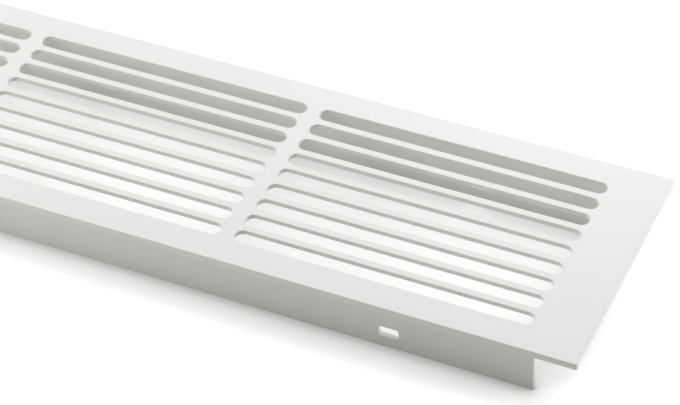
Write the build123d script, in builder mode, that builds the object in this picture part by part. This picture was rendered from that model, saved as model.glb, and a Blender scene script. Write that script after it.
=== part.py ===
# Ventilation grille for a worktop, sill or plinth: a long flat face, pierced by rows of
# slots, on two legs that drop into the cut-out it covers. Face and legs are one aluminium
# extrusion. The legs are milled away at both ends, and the slots and fixing holes are punched.
# X runs along the length and Y from front to back. Z is up from the feet of the legs, and the
# origin is the middle of the footprint. Sizes are in millimetres.

import os

from build123d import *

# The face, with a deeper rim along both long sides
grille_length = 600.0
grille_width = 80.0
face_thickness = 2.0
rim_depth = 2.4
rim_width = 2.2
corner_radius = 0.45
rim_radius = 0.4

# The legs, set in from the long rims and short of both ends
grille_height = 21.0
leg_thickness = 1.6
leg_inset = 5.7
leg_setback = 14.4
root_radius = 0.5
foot_radius = 0.4

# The slots, in panels along the length with a solid web between two panels
slot_length = 90.8
slot_width = 4.9
slot_pitch = 7.15
panel_web = 4.4
end_margin = 15.0
leg_margin = 1.0

# The oblong fixing holes, punched through both legs near each end
hole_length = 6.2
hole_height = 3.6
hole_corner = 0.9
hole_from_end = 57.8
hole_above_foot = 5.65

# What follows from them
underside = grille_height - face_thickness
leg_centre = grille_width / 2 - leg_inset - leg_thickness / 2
leg_gap = 2 * leg_centre - leg_thickness
panel_pitch = slot_length + panel_web
row_count = 1 + int((leg_gap - 2 * leg_margin - slot_width) / slot_pitch)
panel_count = int((grille_length - 2 * end_margin + panel_web) / panel_pitch)

with BuildPart() as grille_profile:
    # The section of the extrusion: the face, its two deeper rims, and a leg inside each rim
    with BuildSketch(Plane.YZ) as section:
        with Locations((0, underside + face_thickness / 2)):
            Rectangle(grille_width, face_thickness)
        with Locations((0, grille_height - rim_depth / 2)):
            with GridLocations(grille_width - rim_width, 0, 2, 1):
                Rectangle(rim_width, rim_depth)
        with GridLocations(2 * leg_centre, 0, 2, 1):
            Rectangle(leg_thickness, underside, align=(Align.CENTER, Align.MIN))
        feet = section.vertices().group_by(Axis.Y)[0]
        roots = section.vertices().group_by(Axis.Y)[2].sort_by(Axis.X)[1:-1]
        fillet(feet, foot_radius)
        fillet(roots, root_radius)
    extrude(amount=grille_length / 2, both=True)

    # The legs are milled away at both ends, between the rims, up to the underside of the face
    with BuildSketch(Plane.XY):
        with GridLocations(grille_length - leg_setback, 0, 2, 1):
            Rectangle(leg_setback, grille_width - 2 * rim_width)
    extrude(amount=underside, mode=Mode.SUBTRACT)

    # The upper edge is eased all round, and the lower edge along both rims
    uprights = grille_profile.edges().filter_by(Axis.Z).sort_by(Axis.Y)
    fillet(uprights[:2] + uprights[-2:], corner_radius)
    fillet(grille_profile.faces().sort_by(Axis.Z)[-1].outer_wire().edges(), rim_radius)
    rim_feet = grille_profile.faces().filter_by(Plane.XY).group_by(Axis.Z)[1]
    rim_edges = rim_feet.edges().filter_by(Axis.X).sort_by(Axis.Y)
    fillet([rim_edges[0], rim_edges[-1]], rim_radius)

    # The slots: as many rows as fit between the legs, and as many panels as fit the length
    with BuildSketch(Plane.XY.offset(grille_height)):
        with GridLocations(panel_pitch, slot_pitch, panel_count, row_count):
            SlotOverall(slot_length, slot_width)
    extrude(amount=-face_thickness, mode=Mode.SUBTRACT)

    # The fixing holes go through both legs in line
    with BuildSketch(Plane.XZ):
        with Locations((0, hole_above_foot)):
            with GridLocations(grille_length - 2 * hole_from_end, 0, 2, 1):
                RectangleRounded(hole_length, hole_height, hole_corner)
    extrude(amount=grille_width / 2, both=True, mode=Mode.SUBTRACT)

grille_profile.part.label = "grille_profile"

os.makedirs("parts", exist_ok=True)
export_step(grille_profile.part, "parts/grille_profile.step")
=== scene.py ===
import math

import bpy
from mathutils import Matrix, Vector


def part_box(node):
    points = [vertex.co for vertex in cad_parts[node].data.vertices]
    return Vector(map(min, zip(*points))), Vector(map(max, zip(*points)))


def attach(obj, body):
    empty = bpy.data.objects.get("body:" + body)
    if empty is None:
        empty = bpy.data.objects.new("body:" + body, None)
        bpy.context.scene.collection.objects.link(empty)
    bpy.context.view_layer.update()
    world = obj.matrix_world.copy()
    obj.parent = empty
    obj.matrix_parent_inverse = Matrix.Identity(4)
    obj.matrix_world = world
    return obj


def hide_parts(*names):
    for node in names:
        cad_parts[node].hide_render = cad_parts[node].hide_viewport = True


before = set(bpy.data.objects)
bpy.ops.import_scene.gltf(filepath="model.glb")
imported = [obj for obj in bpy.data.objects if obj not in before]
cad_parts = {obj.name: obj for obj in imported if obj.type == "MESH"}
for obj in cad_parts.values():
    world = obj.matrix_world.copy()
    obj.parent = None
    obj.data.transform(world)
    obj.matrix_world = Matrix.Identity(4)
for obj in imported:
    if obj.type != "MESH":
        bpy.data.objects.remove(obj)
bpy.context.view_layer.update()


# The camera
# A long lens looks down on the right end of the grille from its front right corner.
camera_place = Vector((0.4539, -0.4807, 0.5010))
camera_aim = Vector((0.2147, -0.0052, 0.0210))
camera_roll = math.radians(-3.063)

camera_lens = bpy.data.cameras.new("long_lens")
camera_lens.lens = 132.5
camera_lens.clip_end = 20.0
camera = bpy.data.objects.new("camera", camera_lens)
bpy.context.scene.collection.objects.link(camera)
aiming = (camera_aim - camera_place).to_track_quat("-Z", "Y").to_matrix().to_4x4()
camera.matrix_world = Matrix.Translation(camera_place) @ aiming @ Matrix.Rotation(camera_roll, 4, "Z")
bpy.context.scene.camera = camera


# The eased wall
# Every edge of the grille is a wall run round an oblong outline: the rim, each slot, each leg
# and each fixing hole. The coat rounds it where it meets the flats above and below.

def add(tree, kind, values=None, **settings):
    """A node of this kind, with its settings, and its inputs set to numbers or linked to outputs."""
    node = tree.nodes.new(kind)
    for name, setting in settings.items():
        setattr(node, name, setting)
    for name, value in (values or {}).items():
        socket = node.inputs[name]
        if isinstance(value, bpy.types.NodeSocket):
            tree.links.new(value, socket)
        else:
            socket.default_value = value
    return node


def add_inputs(tree, sizes, kind="NodeSocketFloat"):
    """Named inputs of a tree, each with the value it starts from."""
    for name, size in sizes.items():
        socket = tree.interface.new_socket(name, in_out="INPUT", socket_type=kind)
        if size is not None:
            socket.default_value = size


def reckon(tree, operation, first, second):
    """One sum on two sizes, inside a tree."""
    return add(tree, "ShaderNodeMath", {0: first, 1: second}, operation=operation).outputs[0]


def point(tree, x=0.0, y=0.0, z=0.0):
    """A point or offset with sizes for its coordinates, inside a tree."""
    return add(tree, "ShaderNodeCombineXYZ", {"X": x, "Y": y, "Z": z}).outputs[0]


eased_wall = bpy.data.node_groups.new("eased_wall", "GeometryNodeTree")
add_inputs(eased_wall, {"Length": 0.1, "Width": 0.01, "Corner": 0.001, "Depth": 0.002})
add_inputs(eased_wall, {"Flare above": 0.0002, "Flare below": 0.0002})
add_inputs(eased_wall, {"Corner steps": 8, "Flare steps": 4}, "NodeSocketInt")
eased_wall.interface.new_socket("Wall", in_out="OUTPUT", socket_type="NodeSocketGeometry")

wall_in = eased_wall.nodes.new("NodeGroupInput").outputs
oblong = add(eased_wall, "GeometryNodeCurvePrimitiveQuadrilateral", {
    "Width": wall_in["Length"],
    "Height": wall_in["Width"],
})
outline = add(eased_wall, "GeometryNodeFilletCurve", {
    "Curve": oblong.outputs["Curve"],
    "Count": wall_in["Corner steps"],
    "Radius": wall_in["Corner"],
    "Limit Radius": True,
}, mode="POLY")
section_points = add(eased_wall, "GeometryNodeCurvePrimitiveQuadrilateral", {
    "Point 1": point(eased_wall, wall_in["Flare above"], 0.0),
    "Point 2": point(eased_wall, 0.0, 0.0),
    "Point 3": point(eased_wall, 0.0, wall_in["Depth"]),
    "Point 4": point(eased_wall, wall_in["Flare below"], wall_in["Depth"]),
}, mode="POINTS")
section_line = add(eased_wall, "GeometryNodeSetSplineCyclic", {
    "Geometry": section_points.outputs["Curve"],
    "Cyclic": False,
})
is_upper_bend = add(eased_wall, "FunctionNodeCompare", {
    2: add(eased_wall, "GeometryNodeInputIndex").outputs[0],
    3: 1,
}, data_type="INT", operation="EQUAL")
bend_radius = add(eased_wall, "GeometryNodeSwitch", {
    "Switch": is_upper_bend.outputs[0],
    "False": reckon(eased_wall, "ABSOLUTE", wall_in["Flare below"], 0.0),
    "True": reckon(eased_wall, "ABSOLUTE", wall_in["Flare above"], 0.0),
}, input_type="FLOAT")
section = add(eased_wall, "GeometryNodeFilletCurve", {
    "Curve": section_line.outputs[0],
    "Count": wall_in["Flare steps"],
    "Radius": bend_radius.outputs[0],
    "Limit Radius": True,
}, mode="POLY")
swept = add(eased_wall, "GeometryNodeCurveToMesh", {
    "Curve": outline.outputs[0],
    "Profile Curve": section.outputs[0],
})
add(eased_wall, "NodeGroupOutput", {"Wall": swept.outputs[0]})


# The grille profile
# One aluminium extrusion: a flat face on two legs. The legs are milled away at both ends. The
# slots are punched in panels along the length, and the fixing holes go through both legs.
grille_low, grille_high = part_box("grille_profile")
grille_sizes = {
    "Length": grille_high.x - grille_low.x,
    "Width": grille_high.y - grille_low.y,
    "Height": grille_high.z - grille_low.z,
    "Face thickness": 0.0015,
    "Rim depth": 0.0024,
    "Rim width": 0.0022,
    "Corner radius": 0.00045,
    "Rim radius": 0.00015,
    "Rim foot radius": 0.0004,
    "Slot length": 0.0908,
    "Slot width": 0.0049,
    "Slot pitch": 0.00715,
    "Slot edge": 0.00012,
    "Panel web": 0.0044,
    "Leg thickness": 0.0016,
    "Leg inset": 0.0057,
    "Leg setback": 0.0144,
    "Leg corner": 0.00015,
    "Root radius": 0.0004,
    "Foot radius": 0.00015,
    "Hole length": 0.0062,
    "Hole height": 0.0036,
    "Hole corner": 0.0009,
    "Hole edge": 0.0001,
    "Hole from end": 0.0578,
    "Hole above foot": 0.00565,
    "Seam": 0.000002,
    "Sharp angle": math.radians(35.0),
}
grille_counts = {"Panels": 6, "Rows": 9, "Arc steps": 12}

grille_tree = bpy.data.node_groups.new("grille_profile", "GeometryNodeTree")
grille_tree.interface.new_socket("Geometry", in_out="INPUT", socket_type="NodeSocketGeometry")
add_inputs(grille_tree, grille_sizes)
add_inputs(grille_tree, grille_counts, "NodeSocketInt")
add_inputs(grille_tree, {"Coat": None}, "NodeSocketMaterial")
grille_tree.interface.new_socket("Geometry", in_out="OUTPUT", socket_type="NodeSocketGeometry")
size = grille_tree.nodes.new("NodeGroupInput").outputs


def wall(tree, length, width, corner, depth, above, below):
    """One eased wall, hanging down from its outline at the origin."""
    group = add(tree, "GeometryNodeGroup", node_tree=eased_wall)
    values = {
        "Length": length,
        "Width": width,
        "Corner": corner,
        "Depth": depth,
        "Flare above": above,
        "Flare below": below,
        "Corner steps": size["Arc steps"],
    }
    for name, value in values.items():
        tree.links.new(value, group.inputs[name])
    return group.outputs[0]


def opening(tree, *sizes):
    """The same wall round a slot or a hole, where it faces inwards."""
    return add(tree, "GeometryNodeFlipFaces", {"Mesh": wall(tree, *sizes)}).outputs[0]


def negative(tree, value):
    return reckon(tree, "MULTIPLY", value, -1.0)


def move(tree, geometry, offset, turn=(0.0, 0.0, 0.0)):
    """Geometry turned about the origin, then moved."""
    return add(tree, "GeometryNodeTransform", {
        "Geometry": geometry,
        "Translation": offset,
        "Rotation": turn,
    }).outputs[0]


def join(tree, *geometries):
    joined = tree.nodes.new("GeometryNodeJoinGeometry")
    for geometry in geometries:
        tree.links.new(geometry, joined.inputs[0])
    return joined.outputs[0]


def repeat(tree, geometry, pitch_x, pitch_y, count_x, count_y, offset):
    """Geometry set out on a rectangular grid, centred on the offset."""
    grid = add(tree, "GeometryNodeMeshGrid", {
        "Size X": reckon(tree, "MULTIPLY", pitch_x, reckon(tree, "SUBTRACT", count_x, 1.0)),
        "Size Y": reckon(tree, "MULTIPLY", pitch_y, reckon(tree, "SUBTRACT", count_y, 1.0)),
        "Vertices X": count_x,
        "Vertices Y": count_y,
    })
    placed = add(tree, "GeometryNodeInstanceOnPoints", {
        "Points": move(tree, grid.outputs["Mesh"], offset),
        "Instance": geometry,
    })
    return placed.outputs[0]


is_open_edge = add(grille_tree, "FunctionNodeCompare", {
    2: add(grille_tree, "GeometryNodeInputMeshEdgeNeighbors").outputs[0],
    3: 1,
}, data_type="INT", operation="EQUAL").outputs[0]
place = add(grille_tree, "ShaderNodeSeparateXYZ", {
    0: add(grille_tree, "GeometryNodeInputPosition").outputs[0],
}).outputs


def flat(walls, axis, level, flipped, mode="TRIANGLES"):
    """The flat face that closes the open edges of these walls at this level along the axis."""
    at_level = add(grille_tree, "FunctionNodeCompare", {
        "A": place[axis],
        "B": level,
        "Epsilon": size["Seam"],
    }, operation="EQUAL").outputs[0]
    chosen = add(grille_tree, "FunctionNodeBooleanMath", {0: is_open_edge, 1: at_level}, operation="AND")
    edges = add(grille_tree, "GeometryNodeMeshToCurve", {
        "Mesh": walls,
        "Selection": chosen.outputs[0],
    }).outputs[0]
    upright = axis == "Y"
    if upright:
        edges = move(grille_tree, edges, (0.0, 0.0, 0.0), (-math.pi / 2, 0.0, 0.0))
    filled = add(grille_tree, "GeometryNodeFillCurve", {"Curve": edges}, mode=mode).outputs[0]
    if upright:
        filled = move(grille_tree, filled, point(grille_tree, y=level), (math.pi / 2, 0.0, 0.0))
    else:
        filled = move(grille_tree, filled, point(grille_tree, z=level))
    if flipped:
        filled = add(grille_tree, "GeometryNodeFlipFaces", {"Mesh": filled}).outputs[0]
    return filled


def without_large(geometry, area):
    """Geometry without its faces of more than this area."""
    return add(grille_tree, "GeometryNodeDeleteGeometry", {
        "Geometry": geometry,
        "Selection": add(grille_tree, "FunctionNodeCompare", {
            "A": add(grille_tree, "GeometryNodeInputMeshFaceArea").outputs[0],
            "B": area,
        }, operation="GREATER_THAN").outputs[0],
    }, domain="FACE").outputs[0]


def half_area(length, width):
    return reckon(grille_tree, "MULTIPLY", reckon(grille_tree, "MULTIPLY", length, width), 0.5)


underside = reckon(grille_tree, "SUBTRACT", size["Height"], size["Face thickness"])
leg_length = reckon(
    grille_tree, "SUBTRACT", size["Length"], reckon(grille_tree, "MULTIPLY", size["Leg setback"], 2.0)
)
half_leg = reckon(grille_tree, "MULTIPLY", size["Leg thickness"], 0.5)
half_width = reckon(grille_tree, "MULTIPLY", size["Width"], 0.5)
leg_outer = reckon(grille_tree, "SUBTRACT", half_width, size["Leg inset"])
leg_centre = reckon(grille_tree, "SUBTRACT", leg_outer, half_leg)
leg_inner = reckon(grille_tree, "SUBTRACT", leg_centre, half_leg)

edge_wall = move(
    grille_tree,
    wall(
        grille_tree, size["Length"], size["Width"], size["Corner radius"],
        size["Rim depth"], negative(grille_tree, size["Rim radius"]),
        negative(grille_tree, size["Rim foot radius"]),
    ),
    point(grille_tree, z=size["Height"]),
)
rim_foot = reckon(grille_tree, "SUBTRACT", size["Height"], size["Rim depth"])
uncut_edge = add(grille_tree, "GeometryNodeMergeByDistance", {
    "Geometry": join(
        grille_tree, edge_wall,
        flat(edge_wall, "Z", size["Height"], False, "NGONS"),
        flat(edge_wall, "Z", rim_foot, True, "NGONS"),
    ),
    "Distance": size["Seam"],
}).outputs[0]
rim_step = reckon(grille_tree, "SUBTRACT", size["Rim depth"], size["Face thickness"])
relief = add(grille_tree, "GeometryNodeMeshCube", {
    "Size": point(
        grille_tree,
        reckon(grille_tree, "MULTIPLY", size["Length"], 2.0),
        reckon(
            grille_tree, "SUBTRACT", size["Width"],
            reckon(grille_tree, "MULTIPLY", size["Rim width"], 2.0),
        ),
        reckon(grille_tree, "MULTIPLY", rim_step, 2.0),
    ),
}).outputs["Mesh"]
relieved = add(grille_tree, "GeometryNodeMeshBoolean", {
    "Mesh 1": uncut_edge,
    "Mesh 2": move(
        grille_tree, relief,
        point(grille_tree, z=reckon(grille_tree, "SUBTRACT", underside, rim_step)),
    ),
}, operation="DIFFERENCE", solver="EXACT").outputs["Mesh"]
open_edge = without_large(relieved, half_area(size["Length"], size["Width"]))

slot_wall = opening(
    grille_tree, size["Slot length"], size["Slot width"],
    reckon(grille_tree, "MULTIPLY", size["Slot width"], 0.5),
    size["Face thickness"], size["Slot edge"], size["Slot edge"],
)
slot_walls = repeat(
    grille_tree, slot_wall, reckon(grille_tree, "ADD", size["Slot length"], size["Panel web"]),
    size["Slot pitch"], size["Panels"], size["Rows"], point(grille_tree, z=size["Height"]),
)

leg_wall = wall(
    grille_tree, leg_length, size["Leg thickness"], size["Leg corner"],
    underside, size["Root radius"], negative(grille_tree, size["Foot radius"]),
)
leg_walls = repeat(
    grille_tree, leg_wall, size["Length"], reckon(grille_tree, "MULTIPLY", leg_centre, 2.0),
    1, 2, point(grille_tree, z=underside),
)

hole_wall = opening(
    grille_tree, size["Hole length"], size["Hole height"], size["Hole corner"],
    size["Leg thickness"], size["Hole edge"], size["Hole edge"],
)
hole_wall = move(
    grille_tree, hole_wall, point(grille_tree, y=negative(grille_tree, half_leg)),
    (math.pi / 2, 0.0, 0.0),
)
hole_span = reckon(
    grille_tree, "SUBTRACT", size["Length"], reckon(grille_tree, "MULTIPLY", size["Hole from end"], 2.0)
)
hole_walls = repeat(
    grille_tree, hole_wall, hole_span, reckon(grille_tree, "MULTIPLY", leg_centre, 2.0),
    2, 2, point(grille_tree, z=size["Hole above foot"]),
)

realized_legs = add(grille_tree, "GeometryNodeRealizeInstances", {"Geometry": leg_walls}).outputs[0]
open_legs = without_large(realized_legs, half_area(leg_length, underside))
inner_walls = add(grille_tree, "GeometryNodeRealizeInstances", {
    "Geometry": join(grille_tree, slot_walls, hole_walls),
}).outputs[0]
walls = add(grille_tree, "GeometryNodeMergeByDistance", {
    "Geometry": join(grille_tree, open_edge, open_legs, inner_walls),
    "Distance": size["Seam"],
}).outputs[0]

flats = join(
    grille_tree,
    flat(walls, "Z", size["Height"], False),
    flat(walls, "Z", underside, True),
    flat(walls, "Z", 0.0, True),
    flat(walls, "Y", negative(grille_tree, leg_outer), False),
    flat(walls, "Y", negative(grille_tree, leg_inner), True),
    flat(walls, "Y", leg_inner, False),
    flat(walls, "Y", leg_outer, True),
)
smooth_walls = add(grille_tree, "GeometryNodeSetShadeSmooth", {
    "Geometry": add(grille_tree, "GeometryNodeSetShadeSmooth", {
        "Geometry": walls,
        "Shade Smooth": True,
    }).outputs[0],
    "Selection": add(grille_tree, "FunctionNodeCompare", {
        "A": add(grille_tree, "GeometryNodeInputMeshEdgeAngle").outputs["Unsigned Angle"],
        "B": size["Sharp angle"],
    }, operation="GREATER_THAN").outputs[0],
    "Shade Smooth": False,
}, domain="EDGE").outputs[0]
plain_flats = add(grille_tree, "GeometryNodeSetShadeSmooth", {
    "Geometry": flats,
    "Shade Smooth": False,
}).outputs[0]
closed = add(grille_tree, "GeometryNodeMergeByDistance", {
    "Geometry": join(grille_tree, smooth_walls, plain_flats),
    "Distance": size["Seam"],
}).outputs[0]
realized = add(grille_tree, "GeometryNodeRealizeInstances", {"Geometry": closed}).outputs[0]
coated = add(grille_tree, "GeometryNodeSetMaterial", {
    "Geometry": realized,
    "Material": size["Coat"],
}).outputs[0]
add(grille_tree, "NodeGroupOutput", {"Geometry": coated})

# The powder coat
# Satin white polyester powder, sprayed on and baked. It flows into a faint orange peel with a
# fine grain. Inside the channel less powder lands, so the coat is drier and shows the die lines.
coat_film = bpy.data.node_groups.new("coat_film", "ShaderNodeTree")
add_inputs(coat_film, {"Place": None}, "NodeSocketVector")
add_inputs(coat_film, {
    "Peel size": 0.0018,
    "Peel depth": 0.000006,
    "Grain size": 0.00018,
    "Grain depth": 0.000001,
    "Die line depth": 0.0,
    "Roughness": 0.46,
    "Roughness spread": 0.05,
    "Tone spread": 0.015,
})
for name in ("Height", "Roughness", "Tone"):
    coat_film.interface.new_socket(name, in_out="OUTPUT", socket_type="NodeSocketFloat")
film = coat_film.nodes.new("NodeGroupInput").outputs


def cells(size_of_cell, detail, place=None):
    """Soft noise with blobs of about this size, from 0 to 1 around a half."""
    return add(coat_film, "ShaderNodeTexNoise", {
        "Vector": place or film["Place"],
        "Scale": reckon(coat_film, "DIVIDE", 1.0, size_of_cell),
        "Detail": detail,
    }).outputs["Fac"]


def spread(noise, amount):
    """Noise centred on nought, from plus to minus this amount at most."""
    centred = reckon(coat_film, "SUBTRACT", noise, 0.5)
    return reckon(coat_film, "MULTIPLY", reckon(coat_film, "MULTIPLY", centred, 2.0), amount)


die_stretch = (0.004, 1.0, 1.0)
die_line_size = 0.0004
cloud_size = 0.022
along_die = add(coat_film, "ShaderNodeVectorMath", {
    0: film["Place"],
    1: die_stretch,
}, operation="MULTIPLY").outputs[0]
peel = cells(film["Peel size"], 1.0)
grain = cells(film["Grain size"], 2.0)
die_lines = cells(die_line_size, 2.0, along_die)
clouds = cells(cloud_size, 1.0)
relief = reckon(
    coat_film, "ADD", spread(peel, film["Peel depth"]), spread(grain, film["Grain depth"])
)
add(coat_film, "NodeGroupOutput", {
    "Height": reckon(coat_film, "ADD", relief, spread(die_lines, film["Die line depth"])),
    "Roughness": reckon(
        coat_film, "ADD", film["Roughness"],
        spread(reckon(coat_film, "MULTIPLY", reckon(coat_film, "ADD", grain, clouds), 0.5),
               film["Roughness spread"]),
    ),
    "Tone": reckon(
        coat_film, "ADD", reckon(coat_film, "SUBTRACT", 1.0, film["Tone spread"]),
        spread(reckon(coat_film, "MULTIPLY", reckon(coat_film, "ADD", grain, clouds), 0.5),
               film["Tone spread"]),
    ),
})

powder_coat = bpy.data.materials.new("powder_coat")
powder_coat.use_nodes = True
coat_tree = powder_coat.node_tree
coat_shader = coat_tree.nodes["Principled BSDF"]
coat_place = add(coat_tree, "ShaderNodeTexCoord").outputs["Object"]
full_film = add(coat_tree, "ShaderNodeGroup", {"Place": coat_place}, node_tree=coat_film).outputs
thin_film = add(coat_tree, "ShaderNodeGroup", {
    "Place": coat_place,
    "Peel depth": 0.000002,
    "Grain size": 0.00030,
    "Grain depth": 0.000003,
    "Die line depth": 0.000003,
    "Roughness": 0.58,
    "Tone spread": 0.025,
}, node_tree=coat_film).outputs
channel_roof = grille_high.z - grille_sizes["Face thickness"]
channel_wall = grille_high.y - grille_sizes["Leg inset"] - grille_sizes["Leg thickness"] / 2
channel_blend = grille_sizes["Leg thickness"] / 4
coat_xyz = add(coat_tree, "ShaderNodeSeparateXYZ", {0: coat_place}).outputs
below_face = add(coat_tree, "ShaderNodeMapRange", {
    "Value": coat_xyz["Z"],
    "From Min": channel_roof + channel_blend,
    "From Max": channel_roof,
}).outputs[0]
between_legs = add(coat_tree, "ShaderNodeMapRange", {
    "Value": reckon(coat_tree, "ABSOLUTE", coat_xyz["Y"], 0.0),
    "From Min": channel_wall + channel_blend,
    "From Max": channel_wall - channel_blend,
}).outputs[0]
in_channel = reckon(coat_tree, "MULTIPLY", below_face, between_legs)


def by_film(name):
    """What the full film gives outside, and the thin film in the channel."""
    return add(coat_tree, "ShaderNodeMix", {
        "Factor": in_channel,
        "A": full_film[name],
        "B": thin_film[name],
    }, data_type="FLOAT").outputs[0]


coat_colour = (0.86, 0.86, 0.845, 1.0)
toned = add(coat_tree, "ShaderNodeMix", {
    "Factor": 1.0,
    6: coat_colour,
    7: by_film("Tone"),
}, data_type="RGBA", blend_type="MULTIPLY").outputs[2]
coat_relief = add(coat_tree, "ShaderNodeBump", {"Height": by_film("Height"), "Distance": 1.0})
for name, output in {
    "Base Color": toned,
    "Roughness": by_film("Roughness"),
    "Normal": coat_relief.outputs[0],
}.items():
    coat_tree.links.new(output, coat_shader.inputs[name])

blank = bpy.data.objects.new("grille_blank", bpy.data.meshes.new("grille_blank"))
bpy.context.scene.collection.objects.link(blank)
forming = blank.modifiers.new("forming", "NODES")
forming.node_group = grille_tree
sockets = {
    item.name: item.identifier
    for item in grille_tree.interface.items_tree
    if item.in_out == "INPUT" and item.name != "Geometry"
}
for name, value in {**grille_sizes, **grille_counts, "Coat": powder_coat}.items():
    forming[sockets[name]] = value
bpy.context.view_layer.update()
formed = bpy.data.meshes.new_from_object(blank.evaluated_get(bpy.context.evaluated_depsgraph_get()))
bpy.data.objects.remove(blank)
grille = bpy.data.objects.new("grille", formed)
bpy.context.scene.collection.objects.link(grille)
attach(grille, "root")
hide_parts("grille_profile")


# The floor and the backdrop
# A sheet of white paper. The camera and reflections see it white, apart from the grille's shadow,
# which is deepest where the grille stands close over it. That shadow is partly real, from the lamps,
# and partly painted: the paper's glow is dimmed by ambient occlusion near the grille.
floor_reach = 6.0
floor_mesh = bpy.data.meshes.new("floor")
floor_mesh.from_pydata([
    (-floor_reach, -floor_reach, 0.0),
    (floor_reach, -floor_reach, 0.0),
    (floor_reach, floor_reach, 0.0),
    (-floor_reach, floor_reach, 0.0),
], [], [(0, 1, 2, 3)])
floor = bpy.data.objects.new("floor", floor_mesh)
bpy.context.scene.collection.objects.link(floor)


def seen(tree):
    """1 for a ray that shows the backdrop: to the camera, in a reflection or through glass."""
    path = add(tree, "ShaderNodeLightPath").outputs
    either = reckon(tree, "MAXIMUM", path["Is Camera Ray"], path["Is Glossy Ray"])
    return reckon(tree, "MAXIMUM", either, path["Is Transmission Ray"])


paper = bpy.data.materials.new("paper")
paper.use_nodes = True
paper_tree = paper.node_tree
paper_tree.nodes.remove(paper_tree.nodes["Principled BSDF"])
paper_glow = 1.09
shade_reach = 0.05
contact_reach = 0.004
# Painted shadow: the glow is dimmed by ambient occlusion within a few centimetres of the grille, and again within
# a few millimetres for the dark contact line at each leg's foot.
painted_shadow_openness = reckon(
    paper_tree, "MULTIPLY",
    add(paper_tree, "ShaderNodeAmbientOcclusion", {"Distance": shade_reach}).outputs["AO"],
    add(paper_tree, "ShaderNodeAmbientOcclusion", {"Distance": contact_reach}).outputs["AO"],
)
lit_paper = add(paper_tree, "ShaderNodeBsdfDiffuse", {"Color": (0.86, 0.845, 0.80, 1.0)})
white_paper = add(paper_tree, "ShaderNodeAddShader", {
    0: add(paper_tree, "ShaderNodeBsdfDiffuse", {"Color": (0.6, 0.6, 0.6, 1.0)}).outputs[0],
    1: add(paper_tree, "ShaderNodeEmission", {
        "Strength": reckon(paper_tree, "MULTIPLY", painted_shadow_openness, paper_glow),
    }).outputs[0],
})
paper_look = add(paper_tree, "ShaderNodeMixShader", {
    0: seen(paper_tree),
    1: lit_paper.outputs[0],
    2: white_paper.outputs[0],
})
paper_tree.links.new(paper_look.outputs[0], paper_tree.nodes["Material Output"].inputs["Surface"])
floor_mesh.materials.append(paper)

world = bpy.data.worlds.new("studio")
bpy.context.scene.world = world
world.use_nodes = True
world_tree = world.node_tree
backdrop = world_tree.nodes["Background"]
backdrop.inputs["Color"].default_value = (1.0, 1.0, 1.0, 1.0)
world_tree.links.new(seen(world_tree), backdrop.inputs["Strength"])


# The studio lights
# Soft square lamps round the right end of the grille. Each share is how bright a white card
# facing the lamp shows at the place it is aimed at, where 1 is white.
lamp_aim = Vector((0.2, 0.0, 0.0))
lamps = {
    "lamp_over": {"place": (0.6, 0.2, 1.0), "size": 0.5, "share": 0.34, "colour": (1.0, 1.0, 1.0)},
    "lamp_left": {"place": (-0.4, 0.0, 0.4), "size": 0.4, "share": 0.35, "colour": (1.0, 1.0, 1.0)},
    "lamp_front_left": {"place": (-0.15, -0.35, 0.25), "size": 0.3, "share": 0.325, "colour": (1.0, 0.985, 0.95)},
    "lamp_right": {"place": (1.5, 0.7, 0.25), "size": 0.6, "share": 0.50, "colour": (1.0, 1.0, 1.0)},
    "lamp_behind": {"place": (0.2, 0.4, 0.25), "size": 0.3, "share": 0.495, "colour": (1.0, 1.0, 1.0)},
}
for name, lamp in lamps.items():
    light = bpy.data.lights.new(name, "AREA")
    light.shape = "SQUARE"
    light.size = lamp["size"]
    light.color = lamp["colour"]
    throw = lamp_aim - Vector(lamp["place"])
    light.energy = math.pi ** 2 * throw.length_squared * lamp["share"]
    holder = bpy.data.objects.new(name, light)
    bpy.context.scene.collection.objects.link(holder)
    holder.location = lamp["place"]
    holder.rotation_euler = throw.to_track_quat("-Z", "Y").to_euler()
    holder.visible_camera = False

bpy.context.scene.view_settings.view_transform = "Standard"
